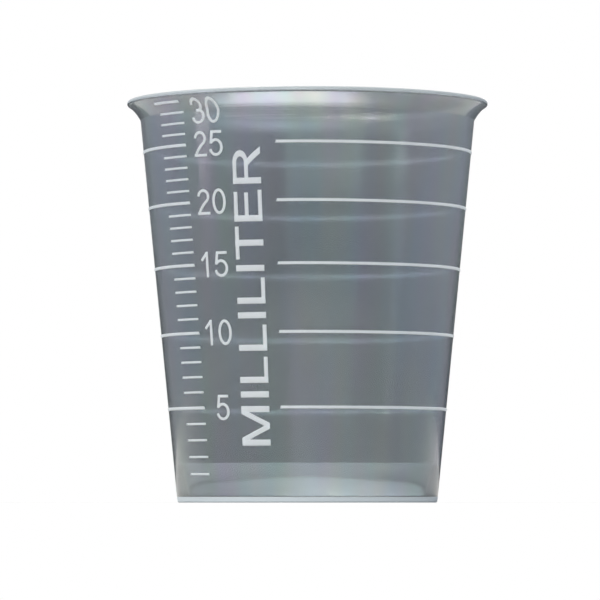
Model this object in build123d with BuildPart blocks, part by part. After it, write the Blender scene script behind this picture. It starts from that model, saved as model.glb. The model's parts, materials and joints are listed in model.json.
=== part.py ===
"""Graduated medicine cup: one thin-walled moulding with a flared rim and raised volume marks.

The cup stands on the plane Z = 0 with its axis along Z. Its front, where the numbers are read,
faces -Y. Every length is in millimetres and every angle in degrees. Angles round the cup are
counted from the front, and grow towards +X.
"""

from math import atan, cos, pi, radians, sin, sqrt, tan
import os

from build123d import *

# Body: a tapered wall that opens upwards from the foot
height = 42.3
foot_radius = 13.66
taper = 5.6
wall = 0.62
floor = 0.65
foot_fillet = 0.2

# Rim: the flare above the neck, with its lean from the vertical where it starts and ends
flare_height = 2.04
flare_width = 1.41
flare_start = 31.0
flare_end = 60.0

# Floor: a flat foot round a push-up dome
foot_width = 2.81
dome_rise = 1.0
dome_fillet = 0.4

# Heel: inside, the wall thickens down to the floor in a shallow cone, then a rounded corner
heel_height = 4.05
heel_step = 0.5
heel_fillet = 0.15

# Volume marks: a ring every few millilitres and a short tick for each one between
ring_every = 5
ring_width = 0.3
tick_width = 0.22
mark_relief = 0.07
mark_clearance = 0.2
tick_start = -59.7
tick_end = -46.5
ring_start = -10.8

MM3_PER_ML = 1000.0
FULL_TURN = 360.0
FRONT = -90.0

# Share of a flat that a fillet may take up
FILLET_SHARE = 0.9


def lean(angle):
    """Direction in the half-plane section that leans out from the vertical by this angle."""
    return Vector(sin(radians(angle)), cos(radians(angle)))


def square_to(angle):
    """Direction in the section at right angles to lean(angle), pointing out and down."""
    return Vector(cos(radians(angle)), -sin(radians(angle)))


# Straight wall
slope = tan(radians(taper))
neck_height = height - flare_height
neck_radius = foot_radius + slope * neck_height
wall_across = wall / cos(radians(taper))
inner_foot_radius = foot_radius - wall_across


def inner_radius(z):
    """Inside radius of the straight wall at height z, above the heel."""
    return inner_foot_radius + slope * z


# Lip: a half-round edge as thick as the wall, tangent to both faces of the flare
lip = wall / 2
lip_centre = Vector(neck_radius + flare_width - lip, height - lip)
lip_outer = lip_centre + square_to(flare_end) * lip
lip_tip = lip_centre + lean(flare_end) * lip
lip_inner = lip_centre - square_to(flare_end) * lip

# The inside of the neck is where the inner faces of the wall and the flare meet
neck_turn = radians(flare_start - taper)
inner_neck_height = neck_height + wall * (sin(radians(taper)) + cos(radians(taper)) * tan(neck_turn / 2))

# Dome: two concentric spheres, a floor's thickness apart
dome_radius = foot_radius - foot_width
dome_sphere = (dome_radius**2 + dome_rise**2) / (2 * dome_rise)
under_sphere = dome_sphere - floor
under_dome_radius = sqrt(under_sphere**2 - (under_sphere - dome_rise) ** 2)

# Heel: the fillet keeps to the flat between the dome and the wall
heel_radius = inner_radius(floor) - heel_step
heel_rise = heel_height - floor
heel_half_corner = (pi / 2 + radians(taper) + atan(heel_step / heel_rise)) / 2
heel_flat = heel_radius - dome_radius
heel_round = min(heel_fillet, FILLET_SHARE * heel_flat * tan(heel_half_corner))

# What the floor takes from the space below the marks: the dome, the heel's cone and the fillet
heel_reach = heel_round / tan(heel_half_corner)
heel_round_area = heel_round * heel_reach - heel_round**2 * (pi / 2 - heel_half_corner)
heel_round_volume = heel_round_area * 2 * pi * (heel_radius - heel_reach / 4)
heel_cone_middle = inner_radius(floor + heel_rise / 3) - heel_step / 3
heel_cone_volume = heel_step * heel_rise / 2 * 2 * pi * heel_cone_middle
dome_volume = pi * dome_rise * (3 * dome_radius**2 + dome_rise**2) / 6
floor_volume = heel_round_volume + heel_cone_volume + dome_volume


def frustum_volume(radius, rise, spread):
    """Volume of a cone frustum from this radius up, whose radius grows by spread per length."""
    return pi * ((radius + spread * rise) ** 3 - radius**3) / (3 * spread)


def frustum_rise(radius, volume, spread):
    """Height to which a volume fills that frustum."""
    return ((radius**3 + 3 * spread * volume / pi) ** (1 / 3) - radius) / spread


flare_spread = tan(radians(flare_start))
neck_volume = frustum_volume(inner_radius(floor), inner_neck_height - floor, slope)


def height_of(ml):
    """Height of the liquid when the cup holds this many millilitres."""
    filled = ml * MM3_PER_ML + floor_volume
    if filled < neck_volume:
        return floor + frustum_rise(inner_radius(floor), filled, slope)
    above_neck = frustum_rise(inner_radius(inner_neck_height), filled - neck_volume, flare_spread)
    return inner_neck_height + above_neck


def volume_below(z):
    """Millilitres that the cup holds up to height z in the wall or the start of the flare."""
    filled = frustum_volume(inner_radius(floor), min(z, inner_neck_height) - floor, slope)
    above_neck = max(z - inner_neck_height, 0)
    filled += frustum_volume(inner_radius(inner_neck_height), above_neck, flare_spread)
    return (filled - floor_volume) / MM3_PER_ML


last_mark = int(volume_below(lip_outer.Y - mark_clearance - tick_width / 2))

with BuildPart() as cup:
    # The half section, from the middle of the floor out to the foot, up, over the lip and back
    with BuildSketch(Plane.XZ) as section:
        with BuildLine():
            under_edge = Vector(under_dome_radius, 0)
            foot = Vector(foot_radius, 0)
            neck = Vector(neck_radius, neck_height)
            inner_neck = Vector(inner_radius(inner_neck_height), inner_neck_height)
            heel_top = Vector(inner_radius(heel_height), heel_height)
            heel = Vector(heel_radius, floor)
            dome_edge = Vector(dome_radius, floor)
            dome_top = Vector(0, floor + dome_rise)
            under_top = Vector(0, dome_rise)
            RadiusArc(under_top, under_edge, under_sphere)
            Polyline(under_edge, foot, neck)
            Spline(neck, lip_outer, tangents=[lean(flare_start), lean(flare_end)])
            ThreePointArc(lip_outer, lip_tip, lip_inner)
            Spline(lip_inner, inner_neck, tangents=[-lean(flare_end), -lean(flare_start)])
            Polyline(inner_neck, heel_top, heel, dome_edge)
            RadiusArc(dome_edge, dome_top, -dome_sphere)
            Line(dome_top, under_top)
        make_face()
        fillet(section.vertices().sort_by_distance(foot)[0], foot_fillet)
        fillet(section.vertices().sort_by_distance(heel)[0], heel_round)
        fillet(section.vertices().sort_by_distance(dome_edge)[0], dome_fillet)
        fillet(section.vertices().sort_by_distance(under_edge)[0], dome_fillet)
    revolve(axis=Axis.Z)

    # Each mark is a slice of a thin skin that follows the outside of the wall and the flare
    for ml in range(1, last_mark + 1):
        is_ring = ml % ring_every == 0
        start = ring_start if is_ring else tick_start
        end = tick_end + FULL_TURN if is_ring else tick_end
        width = ring_width if is_ring else tick_width
        turn = radians(FRONT + start)
        half_plane = Plane((0, 0, 0), x_dir=(cos(turn), sin(turn), 0), z_dir=(sin(turn), -cos(turn), 0))
        with BuildSketch(half_plane):
            with BuildLine():
                Line(foot, neck)
                Spline(neck, lip_outer, tangents=[lean(flare_start), lean(flare_end)])
            trace(line_width=2 * mark_relief)
            with Locations((neck_radius, height_of(ml))):
                Rectangle(neck_radius, width, mode=Mode.INTERSECT)
        revolve(axis=Axis.Z, revolution_arc=end - start)

cup.part.label = "cup"

os.makedirs("parts", exist_ok=True)
export_step(cup.part, "parts/cup.step")
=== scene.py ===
"""Dresses the moulded medicine cup: its clear hazy wall, its frosted volume marks and its lettering.

Lengths in the code are in metres. MM turns a size in millimetres into metres. Angles round the cup
are counted from the front, -Y, and grow towards +X.
"""

import json
from math import cos, pi, radians, sin, sqrt, tan

import bpy
import numpy as np
from bpy.props import FloatProperty, FloatVectorProperty, IntProperty, PointerProperty
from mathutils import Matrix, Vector

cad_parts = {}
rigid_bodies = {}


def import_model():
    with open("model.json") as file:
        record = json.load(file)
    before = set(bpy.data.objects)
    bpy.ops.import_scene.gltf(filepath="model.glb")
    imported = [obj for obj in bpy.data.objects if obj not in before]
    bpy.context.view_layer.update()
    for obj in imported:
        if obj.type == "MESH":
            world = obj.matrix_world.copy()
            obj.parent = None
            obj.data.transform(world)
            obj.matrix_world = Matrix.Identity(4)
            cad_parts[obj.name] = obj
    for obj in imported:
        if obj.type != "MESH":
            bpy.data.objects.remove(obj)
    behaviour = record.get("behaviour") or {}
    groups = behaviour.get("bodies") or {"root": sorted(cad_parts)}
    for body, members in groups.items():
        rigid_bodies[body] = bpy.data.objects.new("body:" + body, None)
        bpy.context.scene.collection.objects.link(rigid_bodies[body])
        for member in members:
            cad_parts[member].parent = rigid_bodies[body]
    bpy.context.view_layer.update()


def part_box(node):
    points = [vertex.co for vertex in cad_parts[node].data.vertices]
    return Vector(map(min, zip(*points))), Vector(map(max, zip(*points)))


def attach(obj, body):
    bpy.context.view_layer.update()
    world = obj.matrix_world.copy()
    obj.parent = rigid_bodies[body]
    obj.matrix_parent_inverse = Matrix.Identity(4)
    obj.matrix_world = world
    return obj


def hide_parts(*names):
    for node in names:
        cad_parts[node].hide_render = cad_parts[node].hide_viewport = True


bl_info = {
    "name": "Medicine cup finish",
    "version": (1, 0, 0),
    "blender": (4, 5, 0),
    "location": "View3D > Sidebar > Medicine cup",
    "description": "Builds the moulded shell, the volume marks and the lettering of a graduated medicine cup",
    "category": "Object",
}

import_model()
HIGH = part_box("cup")[1]

# A millimetre in metres and a millilitre in cubic metres
MM = 0.001
ML = 1e-6

BODY = "root"
NODE = "cup"
MARKS = ("volume_rings", "volume_ticks", "volume_numbers", "unit_word")

# Edges of a piece that turn by more than this are shaded sharp
SHELL_SHARP = radians(24)
MARK_SHARP = radians(60)
LETTER_SHARP = radians(50)


def linear(hex_colour):
    """Linear red, green and blue of an sRGB hex colour, by the standard curve."""
    channels = np.array([int(hex_colour[i : i + 2], 16) for i in (0, 2, 4)]) / 255
    curved = ((channels + 0.055) / 1.055) ** 2.4
    return tuple(float(c) for c in np.where(channels <= 0.04045, channels / 12.92, curved))


def length(name, text, millimetres):
    """A length property whose default is given in millimetres."""
    return FloatProperty(
        name=name, description=text, default=millimetres * MM, unit="LENGTH", precision=5
    )


def angle(name, text, degrees):
    """An angle property whose default is given in degrees."""
    return FloatProperty(name=name, description=text, default=radians(degrees), unit="ROTATION")


def colour(name, text, hex_colour):
    """A colour property whose default is given as an sRGB hex value."""
    return FloatVectorProperty(
        name=name, description=text, default=linear(hex_colour), subtype="COLOR", min=0, max=1
    )


class CupShellSizes(bpy.types.PropertyGroup):
    """Sizes of the moulded shell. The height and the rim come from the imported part."""

    height: FloatProperty(
        name="Height", description="Foot to lip", default=HIGH.z, unit="LENGTH", precision=5
    )
    rim_radius: FloatProperty(
        name="Rim radius", description="Outside of the lip", default=HIGH.x, unit="LENGTH", precision=5
    )
    foot_radius: length("Foot radius", "Outside of the wall at the foot", 13.66)
    taper: angle("Taper", "Lean of the straight wall from the vertical", 5.6)
    wall: length("Wall", "Thickness of the wall and the lip", 0.62)
    floor: length("Floor", "Thickness of the floor", 0.65)
    foot_fillet: length("Foot fillet", "Round of the foot's outer edge", 0.2)
    flare_height: length("Flare height", "Neck to the top of the lip", 2.04)
    flare_start: angle("Flare start", "Lean of the flare at the neck", 31)
    flare_end: angle("Flare end", "Lean of the flare at the lip", 60)
    foot_band: length("Foot band", "Height of the matt band round the foot", 0.6)
    foot_width: length("Foot width", "Flat ring round the dome", 2.81)
    dome_rise: length("Dome rise", "Height of the pushed-up floor", 1.0)
    dome_fillet: length("Dome fillet", "Round of the dome's edge", 0.4)
    heel_height: length("Heel height", "Where the wall starts to thicken, inside", 4.05)
    heel_step: length("Heel step", "How much thicker the wall is at the floor", 0.5)
    heel_fillet: length("Heel fillet", "Round inside corner of the floor", 0.15)
    heel_top_round: length("Heel top round", "Round where the wall starts to thicken", 1.0)
    segments: IntProperty(
        name="Segments", description="Facets round the shell", default=384, min=96, max=512
    )


class CupMarkSizes(bpy.types.PropertyGroup):
    """Sizes of the raised volume marks."""

    ring_every: IntProperty(name="Ring every", description="Millilitres between rings", default=5, min=1)
    width: length("Mark width", "Height of a ring on the wall", 0.3)
    tick_width: length("Tick width", "Height of a tick on the wall", 0.22)
    relief: length("Relief", "How far a mark stands out from the wall", 0.07)
    bite: length("Bite", "How far a mark's root goes into the wall", 0.04)
    clearance: length("Clearance", "Bare wall between the last tick and the lip", 0.2)
    tick_start: angle("Tick start", "Left end of the ticks", -59.7)
    tick_end: angle("Tick end", "Right end of the ticks and of the rings", -46.5)
    ring_start: angle("Ring start", "Left end of the rings at the front", -10.8)


class CupLetterSizes(bpy.types.PropertyGroup):
    """Sizes of the raised numbers and of the unit word."""

    number_height: length("Number height", "Height of the numbers", 2.62)
    number_pen: length("Number pen", "Line width of the numbers", 0.28)
    number_azimuth: angle("Number place", "Middle of the column of numbers", -36.4)
    top_number_height: length("Top number", "Height of the top number's middle, below the lip", 40.2)
    word_height: length("Word height", "Height of the word's capitals", 3.08)
    word_stem: length("Word stem", "Width of the word's upright strokes", 0.63)
    word_arm: length("Word arm", "Width of the word's level strokes", 0.41)
    word_bottom: length("Word bottom", "Height where the word starts", 5.39)
    word_azimuth: angle("Word place", "Base line of the word at its start", -15.3)
    word_drift: angle("Word drift", "Turn of the base line up to the word's end", -1.1)


class CupColours(bpy.types.PropertyGroup):
    """Colours of the plastic and of the stage."""

    wall_tint: colour("Wall", "What one wall lets through", "BFC5CB")
    haze: colour("Haze", "Light that the moulded wall scatters", "DDE6EA")
    marks: colour("Marks", "Frosted raised marks", "F2F6F8")
    floor: colour("Floor", "Pale table", "C8C8C6")


GROUPS = {
    "cup_shell": CupShellSizes,
    "cup_marks": CupMarkSizes,
    "cup_letters": CupLetterSizes,
    "cup_colours": CupColours,
}


def lean(tilt):
    """Direction in the half section that leans out from the vertical by this angle."""
    return np.array([sin(tilt), cos(tilt)])


def square_to(tilt):
    """Direction at right angles to lean(tilt), pointing out and down."""
    return np.array([cos(tilt), -sin(tilt)])


def arc(centre, radii, start, end, count):
    """Points on an ellipse: centre plus the radii times the cosine and sine of an even angle."""
    turn = np.linspace(radians(start), radians(end), count)
    return np.column_stack([centre[0] + radii[0] * np.cos(turn), centre[1] + radii[1] * np.sin(turn)])


# How far past a round the flat beside it starts to be shaded flat
FLAT_SHADED = 0.02 * MM


def rounded(before, corner, after, radius, count=9):
    """A corner's round: an arc that touches both sides, centred on the line that halves them.

    Each point is the centre plus the arc's first and last radius, weighted by the sines of the
    turn that is left and the turn that is made. One more point lies on each side, close by, so
    that the flat beyond it is shaded flat.
    """
    back = (before - corner) / np.linalg.norm(before - corner)
    ahead = (after - corner) / np.linalg.norm(after - corner)
    half = np.arccos(np.clip(back @ ahead, -1, 1)) / 2
    halving = (back + ahead) / np.linalg.norm(back + ahead)
    centre = corner + halving * radius / sin(half)
    reach = radius / tan(half)
    first = corner + back * reach - centre
    last = corner + ahead * reach - centre
    share = np.linspace(0, 1, count)[:, None]
    sweep = pi - 2 * half
    turned = (first * np.sin((1 - share) * sweep) + last * np.sin(share * sweep)) / sin(sweep)
    return np.vstack([
        corner + back * (reach + FLAT_SHADED),
        centre + turned,
        corner + ahead * (reach + FLAT_SHADED),
    ])


def hermite(start, end, start_direction, end_direction, count=17):
    """A cubic from start to end, whose end tangents are as long as the straight line between."""
    t = np.linspace(0, 1, count)[:, None]
    reach = np.linalg.norm(end - start)
    blend = 3 * t**2 - 2 * t**3
    return (
        start * (1 - blend)
        + end * blend
        + start_direction * reach * (t**3 - 2 * t**2 + t)
        + end_direction * reach * (t**3 - t**2)
    )


# Steps of the lip's half round. The lip is matt on the middle half of them
LIP_STEPS = 12
LIP_QUARTER = LIP_STEPS // 4


class Section:
    """The cup's half section as polylines of radius and height, worked out from its sizes."""

    def __init__(self, size):
        self.slope = tan(size.taper)
        neck_height = size.height - size.flare_height
        neck = np.array([size.foot_radius + self.slope * neck_height, neck_height])
        self.inner_foot_radius = size.foot_radius - size.wall / cos(size.taper)

        # The lip is a half round as thick as the wall, tangent to both faces of the flare
        lip = size.wall / 2
        lip_centre = np.array([size.rim_radius - lip, size.height - lip])
        lip_outer = lip_centre + square_to(size.flare_end) * lip
        lip_inner = lip_centre - square_to(size.flare_end) * lip
        turn = np.linspace(-pi / 2, pi / 2, LIP_STEPS + 1)[:, None]
        lip_arc = lip_centre + lip * (
            np.cos(turn) * lean(size.flare_end) - np.sin(turn) * square_to(size.flare_end)
        )

        # The inner neck is where the inner faces of the wall and the flare meet
        half_turn = (size.flare_start - size.taper) / 2
        rise = size.wall * (sin(size.taper) + cos(size.taper) * tan(half_turn))
        self.neck_inner = neck_height + rise
        inner_neck = self.inner_point(self.neck_inner)

        # The dome is two concentric spheres, a floor's thickness apart
        self.dome_radius = size.foot_radius - size.foot_width
        sphere = (self.dome_radius**2 + size.dome_rise**2) / (2 * size.dome_rise)
        under_sphere = sphere - size.floor
        centre_height = size.floor + size.dome_rise - sphere
        under_edge = np.array([sqrt(under_sphere**2 - centre_height**2), 0.0])
        dome_edge = np.array([self.dome_radius, size.floor])
        under_end = np.arcsin(under_edge[0] / under_sphere)
        over_end = np.arcsin(dome_edge[0] / sphere)

        foot = np.array([size.foot_radius, 0.0])
        heel = self.inner_point(size.floor) - [size.heel_step, 0]
        heel_top = self.inner_point(size.heel_height)

        def dome(radius, start, end, count=25):
            turn = np.linspace(start, end, count)
            return np.column_stack([radius * np.sin(turn), centre_height + radius * np.cos(turn)])

        # The dome's shallow edges are cut off at this distance from the corner, not rounded
        cut = size.dome_fillet / 2
        under = dome(under_sphere, 0, under_end - cut / under_sphere)
        over = dome(sphere, over_end - cut / sphere, 0)
        foot_round = rounded(under_edge, foot, neck, size.foot_fillet)
        self.outside = np.vstack([
            foot_round,
            foot + (neck - foot) * size.foot_band / neck_height,
            neck,
            hermite(neck, lip_outer, lean(size.flare_start), lean(size.flare_end))[1:],
        ])
        inside = np.vstack([
            hermite(lip_inner, inner_neck, -lean(size.flare_end), -lean(size.flare_start))[1:],
            rounded(inner_neck, heel_top, heel, size.heel_top_round),
            rounded(heel_top, heel, dome_edge, size.heel_fillet, count=17),
        ])
        stretches = [
            under,
            [under_edge + [cut, 0]],
            self.outside,
            lip_arc[1:],
            inside,
            [dome_edge + [cut, 0]],
            over,
        ]
        self.profile = np.vstack(stretches)
        self.profile[[0, -1], 0] = 0.0
        self.size = size

        # Rows of facets that are finished differently. Row n lies between points n and n + 1
        starts = np.cumsum([0] + [len(stretch) for stretch in stretches])
        foot_start, lip_start, floor_start = starts[2], starts[3] - 1, starts[5] - 1
        self.lip_rows = slice(lip_start + LIP_QUARTER, lip_start + 3 * LIP_QUARTER)
        self.foot_rows = slice(foot_start, foot_start + len(foot_round))
        self.floor_rows = slice(floor_start, None)

    def inner_point(self, height):
        """The point at this height on the inside of the straight wall."""
        return np.array([self.inner_foot_radius + self.slope * height, height])

    def surface(self, height):
        """Radius and lean of the outside at these heights, in between the profile's points."""
        radius = np.interp(height, self.outside[:, 1], self.outside[:, 0])
        step = 0.02 * MM
        above = np.interp(height + step, self.outside[:, 1], self.outside[:, 0])
        below = np.interp(height - step, self.outside[:, 1], self.outside[:, 0])
        return radius, np.arctan2(above - below, 2 * step)

    def floor_volume(self):
        """What the dome, the heel's cone and the heel's round take from the volume."""
        size = self.size
        rise = size.heel_height - size.floor
        half_corner = (pi / 2 + size.taper + np.arctan(size.heel_step / rise)) / 2
        reach = size.heel_fillet / tan(half_corner)
        area = size.heel_fillet * reach - size.heel_fillet**2 * (pi / 2 - half_corner)
        heel_radius = self.inner_point(size.floor)[0] - size.heel_step
        cone_middle = self.inner_point(size.floor + rise / 3)[0] - size.heel_step / 3
        cone = size.heel_step * rise / 2 * 2 * pi * cone_middle
        dome = pi * size.dome_rise * (3 * self.dome_radius**2 + size.dome_rise**2) / 6
        return area * 2 * pi * (heel_radius - reach / 4) + cone + dome

    def height_of(self, millilitres):
        """Height of the liquid: the cone frustum on the floor, and past the neck the flare's own.

        A frustum holds pi / (3 spread) times the difference of the cubes of its radii, so the
        radius at the surface is a cube root, and the height follows from it.
        """
        foot = self.inner_point(self.size.floor)[0]
        neck = self.inner_point(self.neck_inner)[0]
        filled = millilitres * ML + self.floor_volume()
        neck_volume = pi * (neck**3 - foot**3) / (3 * self.slope)
        if filled < neck_volume:
            surface = (foot**3 + 3 * self.slope * filled / pi) ** (1 / 3)
            return self.size.floor + (surface - foot) / self.slope
        spread = tan(self.size.flare_start)
        surface = (neck**3 + 3 * spread * (filled - neck_volume) / pi) ** (1 / 3)
        return self.neck_inner + (surface - neck) / spread


def add_piece(name, points, faces, materials, sharp_over, which=None):
    """Makes a mesh piece in the row frame, shaded smooth except at edges over sharp_over.

    Which gives each face the number of its material, where there is more than one.
    """
    mesh = bpy.data.meshes.new(name)
    mesh.from_pydata(points.tolist(), [], faces)
    for material in materials:
        mesh.materials.append(material)
    if which is not None:
        mesh.polygons.foreach_set("material_index", which)
    mesh.shade_smooth()
    mesh.set_sharp_from_angle(angle=sharp_over)
    mesh.validate()
    piece = bpy.data.objects.new(name, mesh)
    bpy.context.scene.collection.objects.link(piece)
    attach(piece, BODY)
    return piece


def revolve(profile, segments):
    """Points and faces of a profile turned about Z. Both of its ends lie on the axis.

    A point at radius r and angle a is (r sin a, -r cos a, height). Each end is one point, which
    closes the surface with a fan. The faces are in rows, in the order of the profile's points.
    """
    turn = np.arange(segments) * 2 * pi / segments
    ring = profile[1:-1]
    x = ring[:, :1] * np.sin(turn)
    y = -ring[:, :1] * np.cos(turn)
    z = np.broadcast_to(ring[:, 1:], x.shape)
    poles = [[0, 0, profile[0, 1]], [0, 0, profile[-1, 1]]]
    points = np.vstack([np.dstack([x, y, z]).reshape(-1, 3), poles])
    row = np.arange(segments)
    after = np.roll(row, -1)
    start = np.arange(len(ring) - 1)[:, None] * segments
    quads = np.dstack([start + row, start + after, start + segments + after, start + segments + row])
    last = (len(ring) - 1) * segments
    count = len(ring) * segments
    bottom = np.column_stack([np.full(segments, count), after, row])
    top = np.column_stack([np.full(segments, count + 1), last + row, last + after])
    return points, bottom.tolist() + quads.reshape(-1, 4).tolist() + top.tolist()


def pen_edge(direction, nib):
    """Half the width of a stroke, as a vector: the point of an elliptic nib furthest to its left.

    That is the left normal times the nib's squared width and height, over twice the length of the
    normal times the nib.
    """
    normal = np.column_stack([-direction[:, 1], direction[:, 0]])
    stretched = normal * np.square(nib)
    return stretched / (2 * np.linalg.norm(normal * nib, axis=1)[:, None])


# Crown of a raised mark: places across the pen, and heights as shares of the relief
CROWN_ACROSS = np.array([1.0, 1.0, 0.93, 0.78, 0.4, -0.4, -0.78, -0.93, -1.0, -1.0])
CROWN_RELIEF = np.array([0.0, 0.55, 0.8, 0.94, 1.0, 1.0, 0.94, 0.8, 0.55, 0.0])


def stroke(path, nib, relief, bite, level_ends=False, closed=False):
    """A crowned bar carried along a flat path: points (along, up, out of the wall) and its faces.

    At each point of the path the crown's places across run from one edge of the nib to the other,
    on the line that halves the path's turn. Level ends are cut parallel to the letter's base line.
    The third result marks the faces of the root, which lie inside the wall.
    """
    path = np.asarray(path, float)
    nib = np.broadcast_to(nib, 2)
    if closed:
        steps = np.roll(path, -1, axis=0) - path
        before = np.roll(steps, 1, axis=0)
    else:
        steps = np.vstack([np.diff(path, axis=0), path[-1:] - path[-2:-1]])
        before = np.vstack([steps[:1], steps[:-1]])
    ahead = steps / np.linalg.norm(steps, axis=1)[:, None]
    behind = before / np.linalg.norm(before, axis=1)[:, None]
    middle = ahead + behind
    middle /= np.linalg.norm(middle, axis=1)[:, None]
    edge = pen_edge(middle, nib) / np.sum(middle * ahead, axis=1)[:, None]
    if level_ends:
        for end in (0, -1):
            across = edge[end]
            slant = middle[end, 0] * across[1] - middle[end, 1] * across[0]
            edge[end] = [-slant / middle[end, 1], 0]
    flat = path[:, None] + edge[:, None] * CROWN_ACROSS[None, :, None]
    lift = np.broadcast_to(CROWN_RELIEF * (relief + bite) - bite, flat.shape[:2])
    points = np.dstack([flat, lift]).reshape(-1, 3)
    width = len(CROWN_ACROSS)
    column = np.arange(width)
    after = np.roll(column, -1)
    rows = len(path) if closed else len(path) - 1
    start = np.arange(rows)[:, None] * width
    onward = (start + width) % (len(path) * width)
    faces = np.dstack([start + column, start + after, onward + after, onward + column])
    root = np.tile(column == width - 1, rows)
    faces = faces.reshape(-1, 4)
    if not closed:
        # Each end is closed by strips from the crown's left half to its right half
        pair = np.arange(width // 2 - 1)
        cap = np.column_stack([width - 1 - pair, width - 2 - pair, pair + 1, pair])
        faces = np.vstack([faces, cap, cap[:, ::-1] + rows * width])
        root = np.append(root, np.zeros(2 * len(cap), bool))
    return points, faces, root


def on_wall(section, points, height, azimuth, upright=True):
    """Lays flat lettering on the outside of the cup.

    Across becomes an angle, which is the distance over the wall's radius there, up is added to the
    height, and out stands square on the wall. Lettering that isn't upright reads upwards: its own
    across runs up the wall and its up runs left.
    """
    across, up, out = points.T
    if not upright:
        across, up = -up, across
    level = height + up
    radius, tilt = section.surface(level)
    turn = azimuth + across / radius
    reach = radius + out * np.cos(tilt)
    return np.column_stack([reach * np.sin(turn), -reach * np.cos(turn), level - out * np.sin(tilt)])


def joined(parts):
    """Several strokes as one: their points, their faces and the marks of their roots."""
    points, faces, root = zip(*parts)
    first = np.cumsum([0] + [len(p) for p in points[:-1]])
    return np.vstack(points), np.vstack([f + n for f, n in zip(faces, first)]), np.concatenate(root)


def add_marks(name, points, faces, root, sharp_over):
    """Adds raised marks, frosted but for their roots, where mark and wall are one."""
    materials = [frosted_polypropylene(), mark_root()]
    return add_piece(name, points, faces.tolist(), materials, sharp_over, root.astype(np.int32))


def line(*points, step=0.25):
    """A straight or bent path in millimetres with a point at least every step."""
    points = np.array(points, float)
    made = [points[:1]]
    for a, b in zip(points[:-1], points[1:]):
        count = max(int(np.ceil(np.linalg.norm(b - a) / step)), 1)
        made.append(a + (b - a) * np.linspace(0, 1, count + 1)[1:, None])
    return np.vstack(made)


def bend(start, control, end, count=13):
    """A quadratic curve from start to end, drawn towards a control point."""
    t = np.linspace(0, 1, count)[:, None]
    start, control, end = np.array(start), np.array(control), np.array(end)
    return start * (1 - t) ** 2 + control * 2 * t * (1 - t) + end * t**2


# The digits as drawn, in millimetres: their height, half of the pen's width, and where a number
# of one or two digits starts, from the middle of the column
DIGIT_HEIGHT = 2.62
HALF_PEN = 0.14
ONE_DIGIT_START = -0.69
TWO_DIGIT_START = -1.71


def digit_paths(digit):
    """Pen paths of a narrow grotesque digit in millimetres, as (path, closed), and its advance."""
    cap, top, base = DIGIT_HEIGHT, DIGIT_HEIGHT - HALF_PEN, HALF_PEN
    if digit == "0":
        return [(arc((0.67, 1.31), (0.67, 1.17), 0, 352.5, 48), True)], 2.0
    if digit == "1":
        flag = line((0.03, 1.74), (0.72, 2.47))
        return [(line((0.75, 0), (0.75, cap)), False), (flag, False)], 1.86
    if digit == "2":
        hook = arc((0.735, 1.86), (0.65, 0.62), 176, -50, 30)
        spine = bend(hook[-1], (0.39, 0.795), (0.1, base))
        foot = line((-0.06, base), (1.56, base))
        return [(np.vstack([hook, spine[1:]]), False), (foot, False)], 2.06
    if digit == "3":
        upper = arc((0.68, 1.9), (0.58, 0.58), 174, -80, 30)
        lower = arc((0.7, 0.78), (0.71, 0.64), 80, -168, 34)
        waist = line((0.52, 1.36), (0.86, 1.36))
        return [(upper, False), (lower, False), (waist, False)], 1.97
    if digit == "5":
        bowl = arc((0.66, 0.9), (0.7, 0.76), 145, -166, 40)
        upright = line((0.27, cap - 0.02), (0.07, 1.29))
        flag = line((0.16, top), (1.42, top))
        return [(bowl, False), (upright, False), (flag, False)], 2.0
    raise ValueError("no pen paths are drawn for the digit " + digit)


UNIT_WORD = "MILLILITER"


def letter_strokes(letter, cap, stem, arm):
    """Pen strokes of a wide capital, as (path, nib, level ends), with its width and side room.

    The nib is an ellipse as wide as the stems and as high as the arms, so curves swell at the side.
    All of it is in millimetres.
    """
    nib = (stem, arm)
    near = stem / 2
    foot = arm / 2
    head = cap - foot

    def upright(across):
        return line((across, 0), (across, cap)), nib, False

    def level(start, end, height):
        return line((start, height), (end, height)), nib, False

    if letter == "M":
        width = 4.06
        slim = 0.53
        shoulder = 0.52
        fall = (line((shoulder, cap), (width / 2, 0)), slim, True)
        rise = (line((width / 2, 0), (width - shoulder, cap)), slim, True)
        return [upright(near), fall, rise, upright(width - near)], width, (0.43, 0.43)
    if letter == "I":
        return [upright(near)], stem, (0.44, 0.46)
    if letter == "L":
        width = 2.66
        return [upright(near), level(near, width, foot)], width, (0.4, 0.22)
    if letter == "T":
        width = 3.35
        return [upright(width / 2), level(0, width, head)], width, (0.13, 0.07)
    if letter == "E":
        width = 3.19
        arms = [level(near, width, foot), level(near, 2.95, 1.68), level(near, 3.04, head)]
        return [upright(near), *arms], width, (0.43, 0.22)
    if letter == "R":
        width = 3.75
        waist = 1.58
        bowl_start = 2.15
        bowl_middle = (head + waist) / 2
        bowl_radii = (1.27 - near, bowl_middle - waist)
        bowl = arc((bowl_start, bowl_middle), bowl_radii, 90, -90, 25)
        top = line((near, head), (bowl_start, head))
        back = line((bowl_start, waist), (near, waist))
        loop = (np.vstack([top, bowl[1:-1], back]), nib, False)
        leg = (bend((1.95, waist), (2.42, 1.35), (3.4, 0.0)), nib, True)
        return [upright(near), loop, leg], width, (0.43, 0.1)
    raise ValueError("no pen strokes are drawn for the letter " + letter)


def node(tree, kind, inputs=None, **settings):
    """Adds a shader node, sets its options, and gives each named input a value or a link."""
    made = tree.nodes.new(kind)
    for name, value in settings.items():
        setattr(made, name, value)
    for name, value in (inputs or {}).items():
        if isinstance(value, bpy.types.NodeSocket):
            tree.links.new(value, made.inputs[name])
        else:
            made.inputs[name].default_value = value
    return made


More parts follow.
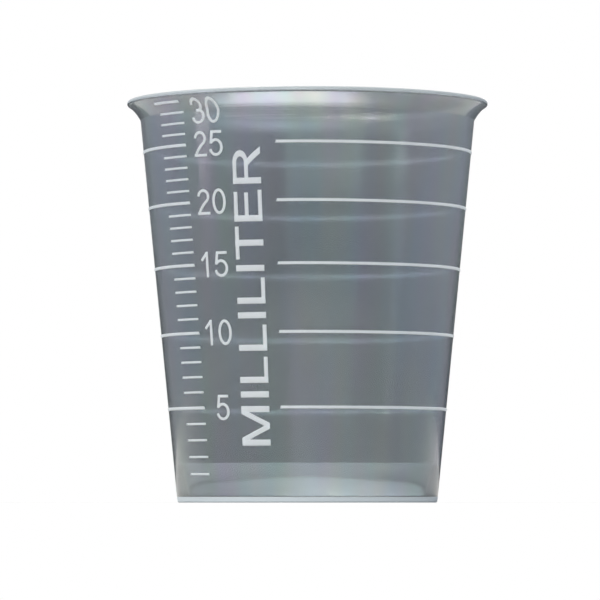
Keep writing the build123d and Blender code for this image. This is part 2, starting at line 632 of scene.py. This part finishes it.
def blank_material(name):
    """A new node material, its tree and its output node, which is all that is in it.

    A material that is there already comes back with None for the other two.
    """
    made = bpy.data.materials.get(name)
    if made:
        return made, None, None
    made = bpy.data.materials.new(name)
    made.use_nodes = True
    made.node_tree.nodes.clear()
    out = made.node_tree.nodes.new("ShaderNodeOutputMaterial")
    return made, made.node_tree, out


# Typical refractive index of polypropylene
PLASTIC_IOR = 1.49

# Streaks of the melt's flow, which run up the wall, and level lines left by the tool
STREAK_WIDTH = 3.03 * MM
STREAK_LENGTH = 28.6 * MM
TOOL_LINE_SPACING = 0.1538 * MM
TOOL_LINE_LENGTH = 25 * MM
TOOL_LINE_DEPTH = 0.02 * MM

# Grain of the etched marks, drawn coarser than it is so that it shows
GRAIN = 0.1111 * MM
GRAIN_DEPTH = 0.02 * MM

# Cloudiness of the table top
CLOUD = 125 * MM


def moulded_polypropylene():
    """Clarified polypropylene, injection-moulded in a polished tool.

    To the eye: see-through and grey in the thickness, glossy, slightly milky from haze, with faint
    pearly streaks up the wall where the melt flowed and hair-fine level lines left by the tool.
    """
    colours = bpy.context.scene.cup_colours
    made, tree, out = blank_material("moulded_polypropylene")
    if tree is None:
        return made
    place = node(tree, "ShaderNodeTexCoord").outputs["Object"]

    # The streaks tint what the wall lets through
    streak_scale = (1 / STREAK_WIDTH, 1 / STREAK_WIDTH, 1 / STREAK_LENGTH)
    streak_place = node(
        tree, "ShaderNodeMapping", {"Vector": place, "Scale": streak_scale}
    ).outputs["Vector"]
    streaks = node(tree, "ShaderNodeTexNoise", {"Vector": streak_place, "Scale": 1.0, "Detail": 2.0})
    pearl = node(
        tree,
        "ShaderNodeMix",
        {"Factor": 0.6, "A": (*colours.wall_tint, 1), "B": streaks.outputs["Color"]},
        data_type="RGBA",
        blend_type="SOFT_LIGHT",
    ).outputs["Result"]

    # The tool lines ripple the gloss
    line_scale = (1 / TOOL_LINE_LENGTH, 1 / TOOL_LINE_LENGTH, 1 / TOOL_LINE_SPACING)
    line_place = node(
        tree, "ShaderNodeMapping", {"Vector": place, "Scale": line_scale}
    ).outputs["Vector"]
    lines = node(tree, "ShaderNodeTexNoise", {"Vector": line_place, "Scale": 1.0, "Detail": 1.0})
    relief = node(
        tree,
        "ShaderNodeBump",
        {"Strength": 0.06, "Distance": TOOL_LINE_DEPTH, "Height": lines.outputs["Fac"]},
    ).outputs["Normal"]

    clear = node(
        tree,
        "ShaderNodeBsdfPrincipled",
        {
            "Base Color": pearl,
            "Roughness": 0.1,
            "IOR": PLASTIC_IOR,
            "Transmission Weight": 1.0,
            "Normal": relief,
        },
    )

    # The haze scatters light back as much as through
    back = node(tree, "ShaderNodeBsdfDiffuse", {"Color": (*colours.haze, 1)})
    through = node(tree, "ShaderNodeBsdfTranslucent", {"Color": (*colours.haze, 1)})
    haze = node(tree, "ShaderNodeMixShader", {"Fac": 0.5, 1: back.outputs[0], 2: through.outputs[0]})
    hazy = node(tree, "ShaderNodeMixShader", {"Fac": 0.1, 1: clear.outputs[0], 2: haze.outputs[0]})
    tree.links.new(hazy.outputs[0], out.inputs["Surface"])
    return made


def dull_polypropylene(name, white_share, roughness):
    """The same polypropylene with a dull surface, left by a part of the tool that isn't polished.

    To the eye: milky, with soft gloss. White share is how much of it looks white, and not clear.
    """
    colours = bpy.context.scene.cup_colours
    made, tree, out = blank_material(name)
    if tree is None:
        return made
    clear = node(
        tree,
        "ShaderNodeBsdfPrincipled",
        {
            "Base Color": (*colours.wall_tint, 1),
            "Roughness": roughness,
            "IOR": PLASTIC_IOR,
            "Transmission Weight": 1.0,
        },
    )
    white = node(tree, "ShaderNodeBsdfDiffuse", {"Color": (*colours.haze, 1)})
    mixed = node(
        tree, "ShaderNodeMixShader", {"Fac": white_share, 1: clear.outputs[0], 2: white.outputs[0]}
    )
    tree.links.new(mixed.outputs[0], out.inputs["Surface"])
    return made


def frosted_polypropylene():
    """The same polypropylene where the tool was etched, on the raised marks and letters.

    To the eye: white and matt, letting some light through, with a grain of about 0.1 mm.
    """
    colours = bpy.context.scene.cup_colours
    made, tree, out = blank_material("frosted_polypropylene")
    if tree is None:
        return made
    place = node(tree, "ShaderNodeTexCoord").outputs["Object"]
    grain = node(tree, "ShaderNodeTexNoise", {"Vector": place, "Scale": 1 / GRAIN, "Detail": 2.0})
    relief = node(
        tree,
        "ShaderNodeBump",
        {"Strength": 0.25, "Distance": GRAIN_DEPTH, "Height": grain.outputs["Fac"]},
    ).outputs["Normal"]
    mottle = node(
        tree,
        "ShaderNodeMix",
        {"Factor": 0.18, "A": (*colours.marks, 1), "B": grain.outputs["Color"]},
        data_type="RGBA",
        blend_type="SOFT_LIGHT",
    ).outputs["Result"]
    white = node(
        tree, "ShaderNodeBsdfPrincipled", {"Base Color": mottle, "Roughness": 0.5, "Normal": relief}
    )
    through = node(tree, "ShaderNodeBsdfTranslucent", {"Color": mottle})
    mixed = node(tree, "ShaderNodeMixShader", {"Fac": 0.5, 1: white.outputs[0], 2: through.outputs[0]})
    tree.links.new(mixed.outputs[0], out.inputs["Surface"])
    return made


def mark_root():
    """The inside of the moulding under a raised mark, where there is no surface to be seen."""
    made, tree, out = blank_material("mark_root")
    if tree is None:
        return made
    clear = node(tree, "ShaderNodeBsdfTransparent")
    tree.links.new(clear.outputs[0], out.inputs["Surface"])
    return made


def table_top():
    """Matt pale laminate, pressed against a fine-grained plate.

    To the eye: flat and without gloss, plain but for a faint cloudiness.
    """
    colours = bpy.context.scene.cup_colours
    made, tree, out = blank_material("table_top")
    if tree is None:
        return made
    place = node(tree, "ShaderNodeTexCoord").outputs["Object"]
    cloud = node(tree, "ShaderNodeTexNoise", {"Vector": place, "Scale": 1 / CLOUD})
    shade = node(
        tree,
        "ShaderNodeMix",
        {"Factor": 0.02, "A": (*colours.floor, 1), "B": cloud.outputs["Color"]},
        data_type="RGBA",
        blend_type="SOFT_LIGHT",
    ).outputs["Result"]
    matt = node(tree, "ShaderNodeBsdfPrincipled", {"Base Color": shade, "Roughness": 0.8})
    tree.links.new(matt.outputs[0], out.inputs["Surface"])
    return made


class CUP_OT_shell(bpy.types.Operator):
    """Moulds the shell: wall, flared rim, heel and domed floor, as one revolved surface"""

    bl_idname = "cup.shell"
    bl_label = "Mould the shell"

    def execute(self, context):
        size = context.scene.cup_shell
        section = Section(size)
        points, faces = revolve(section.profile, size.segments)

        # The number of each row's material: 0 is the glossy wall, and the duller rows follow
        finishes = np.zeros(len(section.profile) - 1, np.int32)
        materials = [moulded_polypropylene()]
        for rows, name, white_share, roughness in (
            (section.lip_rows, "matt_lip", 0.38, 0.35),
            (section.foot_rows, "matt_foot", 0.72, 0.35),
            (section.floor_rows, "satin_floor", 0.75, 0.12),
        ):
            finishes[rows] = len(materials)
            materials.append(dull_polypropylene(name, white_share, roughness))
        which = np.repeat(finishes, size.segments)
        piece = add_piece("moulded_shell", points, faces, materials, SHELL_SHARP, which)
        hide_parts(NODE)
        return {"FINISHED"}


def mark_levels(section, marks):
    """Millilitres and height of each mark that has room below the lip."""
    limit = section.outside[-1, 1] - marks.clearance - marks.tick_width / 2
    levels = []
    ml = 1
    while section.height_of(ml) < limit:
        levels.append((ml, section.height_of(ml)))
        ml += 1
    return levels


def level_mark(section, marks, width, height, start, end):
    """A level bar on the wall at this height, between two angles round the cup.

    Its flat path is as long as the arc between them, and has a point for every degree.
    """
    radius, _ = section.surface(height)
    half = (end - start) * radius / 2
    count = int(np.ceil((end - start) / radians(1))) + 1
    path = np.column_stack([np.linspace(-half, half, count), np.zeros(count)])
    points, faces, root = stroke(path, width, marks.relief, marks.bite)
    return on_wall(section, points, height, (start + end) / 2), faces, root


class CUP_OT_rings(bpy.types.Operator):
    """Raises the long rings, which run round the cup but for the place of the numbers"""

    bl_idname = "cup.rings"
    bl_label = "Raise the rings"

    def execute(self, context):
        section = Section(context.scene.cup_shell)
        marks = context.scene.cup_marks
        parts = [
            level_mark(section, marks, marks.width, height, marks.ring_start, marks.tick_end + 2 * pi)
            for ml, height in mark_levels(section, marks)
            if ml % marks.ring_every == 0
        ]
        add_marks("volume_rings", *joined(parts), MARK_SHARP)
        return {"FINISHED"}


class CUP_OT_ticks(bpy.types.Operator):
    """Raises the short ticks, one for each millilitre between the rings"""

    bl_idname = "cup.ticks"
    bl_label = "Raise the ticks"

    def execute(self, context):
        section = Section(context.scene.cup_shell)
        marks = context.scene.cup_marks
        parts = [
            level_mark(section, marks, marks.tick_width, height, marks.tick_start, marks.tick_end)
            for ml, height in mark_levels(section, marks)
            if ml % marks.ring_every
        ]
        add_marks("volume_ticks", *joined(parts), MARK_SHARP)
        return {"FINISHED"}


class CUP_OT_numbers(bpy.types.Operator):
    """Raises the number beside each ring, and the top number under the lip"""

    bl_idname = "cup.numbers"
    bl_label = "Raise the numbers"

    def execute(self, context):
        section = Section(context.scene.cup_shell)
        marks = context.scene.cup_marks
        letters = context.scene.cup_letters
        levels = [(ml, z) for ml, z in mark_levels(section, marks) if ml % marks.ring_every == 0]
        levels.append((levels[-1][0] + marks.ring_every, letters.top_number_height))
        scale = letters.number_height / DIGIT_HEIGHT
        parts = []
        for ml, level in levels:
            drawn = [digit_paths(digit) for digit in str(ml)]
            start = TWO_DIGIT_START if len(drawn) > 1 else ONE_DIGIT_START
            for paths, advance in drawn:
                for path, closed in paths:
                    flat = (path + [start, -DIGIT_HEIGHT / 2]) * scale
                    points, faces, root = stroke(
                        flat, letters.number_pen, marks.relief, marks.bite, closed=closed
                    )
                    points = on_wall(section, points, level, letters.number_azimuth)
                    parts.append((points, faces, root))
                start += advance
        add_marks("volume_numbers", *joined(parts), LETTER_SHARP)
        return {"FINISHED"}


class CUP_OT_word(bpy.types.Operator):
    """Raises the unit word, which reads up the wall beside the numbers"""

    bl_idname = "cup.word"
    bl_label = "Raise the unit word"

    def execute(self, context):
        section = Section(context.scene.cup_shell)
        marks = context.scene.cup_marks
        letters = context.scene.cup_letters
        cap, stem, arm = (v / MM for v in (letters.word_height, letters.word_stem, letters.word_arm))
        parts = []
        along = 0.0
        for letter in UNIT_WORD:
            strokes, width, (room_before, room_after) = letter_strokes(letter, cap, stem, arm)
            along += room_before
            for path, nib, level in strokes:
                flat = (path + [along, 0]) * MM
                parts.append(stroke(
                    flat, np.multiply(nib, MM), marks.relief, marks.bite, level_ends=level
                ))
            along += width + room_after
        points, faces, root = joined(parts)
        drift = letters.word_drift * points[:, 0] / (along * MM)
        points = on_wall(
            section, points, letters.word_bottom, letters.word_azimuth + drift, upright=False
        )
        add_marks("unit_word", points, faces, root, LETTER_SHARP)
        return {"FINISHED"}


# Brightness of the surroundings, as linear colour, by the height of the direction: 0 is level and
# 1 straight up. They are dark where the level wall is seen against them, and pale above
SKY = (
    (0.0, (0.04, 0.042, 0.044)),
    (0.045, (0.1425, 0.15, 0.156)),
    (0.09, (0.17575, 0.185, 0.1924)),
    (0.2, (0.209, 0.22, 0.2288)),
    (0.5, (0.55, 0.56, 0.57)),
)

# Cool glow from the left and the right: its colour, how much of it there is straight sideways, and
# the sideways part of a direction from which it starts
GLOW = (0.9, 0.95, 1.1)
GLOW_SHARE = 0.75
GLOW_START = 0.35

# Tints of the lamps, as linear colour
WHITE = (1, 1, 1)
WARM = (1.0, 0.94, 0.84)

# The middle of the cup, which most lamps face
MIDDLE = (0, 0, 0.02)

TABLE_RADIUS = 160 * MM
TABLE_SIDES = 96

# The camera looks level from just over the table, through a long lens. Its sensor and its focal
# length are in millimetres, as makers give them
CAMERA_PLACE = Vector((0, -494 * MM, 0.01 * MM))
CAMERA_AIM = Vector((-0.78 * MM, 0, 21.335 * MM))
SENSOR_WIDTH = 36.0
FOCAL_LENGTH = 281.4
NEAREST_SEEN = 10 * MM


def studio_world(scene):
    """Plain studio surroundings: dark low down, pale above, a glow at each side, white to the lens."""
    world = bpy.data.worlds.new("studio")
    world.use_nodes = True
    tree = world.node_tree
    tree.nodes.clear()
    direction = node(tree, "ShaderNodeTexCoord").outputs["Generated"]
    parts = node(tree, "ShaderNodeSeparateXYZ", {"Vector": direction}).outputs
    ramp = node(tree, "ShaderNodeValToRGB", {"Fac": parts["Z"]})
    stops = ramp.color_ramp.elements
    for stop, (height, shade) in zip(stops, (SKY[0], SKY[-1])):
        stop.position = height
        stop.color = (*shade, 1)
    for height, shade in SKY[1:-1]:
        stops.new(height).color = (*shade, 1)
    aside = node(tree, "ShaderNodeMath", {0: parts["X"]}, operation="ABSOLUTE").outputs[0]
    beside = node(
        tree,
        "ShaderNodeMapRange",
        {"Value": aside, "From Min": GLOW_START, "From Max": 1.0, "To Max": GLOW_SHARE},
    ).outputs["Result"]
    lit = node(
        tree,
        "ShaderNodeMix",
        {"Factor": beside, "A": ramp.outputs["Color"], "B": (*GLOW, 1)},
        data_type="RGBA",
    ).outputs["Result"]
    to_lens = node(tree, "ShaderNodeLightPath").outputs["Is Camera Ray"]
    seen = node(
        tree,
        "ShaderNodeMix",
        {"Factor": to_lens, "A": lit, "B": (*WHITE, 1)},
        data_type="RGBA",
    ).outputs["Result"]
    background = node(tree, "ShaderNodeBackground", {"Color": seen, "Strength": 1.0})
    out = node(tree, "ShaderNodeOutputWorld", {"Surface": background.outputs[0]})
    out.is_active_output = True
    scene.world = world


def softbox(name, place, aim, sides, power, tint=WHITE, spread=180, hidden=False):
    """A rectangular area lamp at place, turned towards aim.

    Its power is in watts and the spread of its beam in degrees. A hidden one lights the cup, but
    shows neither in its gloss nor through its wall.
    """
    lamp = bpy.data.lights.new(name, "AREA")
    lamp.shape = "RECTANGLE"
    lamp.size, lamp.size_y = sides
    lamp.energy = power
    lamp.color = tint
    lamp.spread = radians(spread)
    made = bpy.data.objects.new(name, lamp)
    made.location = place
    made.rotation_euler = (Vector(aim) - Vector(place)).to_track_quat("-Z", "Y").to_euler()
    made.visible_glossy = not hidden
    made.visible_transmission = not hidden
    bpy.context.scene.collection.objects.link(made)
    return made


def set_lamps(scene):
    """Soft light from above and the front, cards that draw the cup's edges, and three helpers."""
    softbox("overhead_softbox", (-0.1, 0.26, 0.55), MIDDLE, (0.16, 0.12), 1.0, WARM)
    softbox("front_softbox", (-0.22, -0.92, 0.45), MIDDLE, (1.1, 0.9), 8.0)
    softbox("left_card", (-0.78, -0.18, 0.12), MIDDLE, (0.16, 0.3), 0.4)
    softbox("rim_card", (-0.008, 1.0, 0.20025), (0, 0, 0.041), (0.056, 0.1395), 0.034)

    # Light that falls through the mouth: on all of the cup's floor, and on the front of it
    softbox("inside_light", (-0.1, 0.0, 0.6), (0.002, 0, 0), (0.16, 0.16), 2.0, WARM, hidden=True)
    softbox(
        "floor_spot",
        (-0.1, 0.06, 0.6),
        (0.003, -0.0095, 0.0012),
        (0.005, 0.003),
        0.18,
        WARM,
        spread=0.8,
        hidden=True,
    )

    # Frosted marks gather light inside the wall, which isn't traced. A lamp for them alone adds it
    mark_light = softbox("mark_light", (0.05, 0.45, 0.35), MIDDLE, (1.4, 0.3), 10.0)
    marks = bpy.data.collections.new("marks")
    for piece in scene.objects:
        if piece.type == "MESH" and piece.name in MARKS:
            marks.objects.link(piece)
    mark_light.light_linking.receiver_collection = marks


def set_camera(scene):
    """The camera, turned from its place towards its aim, with colours shown as they are."""
    camera = bpy.data.cameras.new("camera")
    camera.sensor_width = SENSOR_WIDTH
    camera.lens = FOCAL_LENGTH
    camera.clip_start = NEAREST_SEEN
    eye = bpy.data.objects.new("camera", camera)
    eye.location = CAMERA_PLACE
    eye.rotation_euler = (CAMERA_AIM - CAMERA_PLACE).to_track_quat("-Z", "Y").to_euler()
    scene.collection.objects.link(eye)
    scene.camera = eye
    scene.view_settings.view_transform = "Standard"


class CUP_OT_stage(bpy.types.Operator):
    """Sets the table, the soft light and the camera, which looks level from the height of the foot"""

    bl_idname = "cup.stage"
    bl_label = "Set the stage"

    def execute(self, context):
        scene = context.scene
        turn = np.arange(TABLE_SIDES) * 2 * pi / TABLE_SIDES
        x = TABLE_RADIUS * np.sin(turn)
        y = -TABLE_RADIUS * np.cos(turn)
        rim = np.column_stack([x, y, np.zeros(TABLE_SIDES)])
        mesh = bpy.data.meshes.new("table")
        mesh.from_pydata(rim.tolist(), [], [list(range(TABLE_SIDES))])
        mesh.materials.append(table_top())
        table = bpy.data.objects.new("table", mesh)
        scene.collection.objects.link(table)

        studio_world(scene)
        set_lamps(scene)
        set_camera(scene)
        return {"FINISHED"}


PIECES = (CUP_OT_shell, CUP_OT_rings, CUP_OT_ticks, CUP_OT_numbers, CUP_OT_word, CUP_OT_stage)


class CUP_PT_panel(bpy.types.Panel):
    """Lists the cup's pieces and their sizes"""

    bl_idname = "CUP_PT_panel"
    bl_label = "Medicine cup"
    bl_space_type = "VIEW_3D"
    bl_region_type = "UI"
    bl_category = "Medicine cup"

    def draw(self, context):
        for piece in PIECES:
            self.layout.operator(piece.bl_idname)
        for name, group in GROUPS.items():
            box = self.layout.box()
            for field in group.__annotations__:
                box.prop(getattr(context.scene, name), field)


def register():
    for made in (*GROUPS.values(), *PIECES, CUP_PT_panel):
        bpy.utils.register_class(made)
    for name, group in GROUPS.items():
        setattr(bpy.types.Scene, name, PointerProperty(type=group))


def unregister():
    for name in GROUPS:
        delattr(bpy.types.Scene, name)
    for made in (CUP_PT_panel, *PIECES[::-1], *GROUPS.values()):
        bpy.utils.unregister_class(made)


def main():
    register()
    bpy.ops.cup.shell()
    bpy.ops.cup.rings()
    bpy.ops.cup.ticks()
    bpy.ops.cup.numbers()
    bpy.ops.cup.word()
    bpy.ops.cup.stage()


if __name__ == "__main__":
    main()
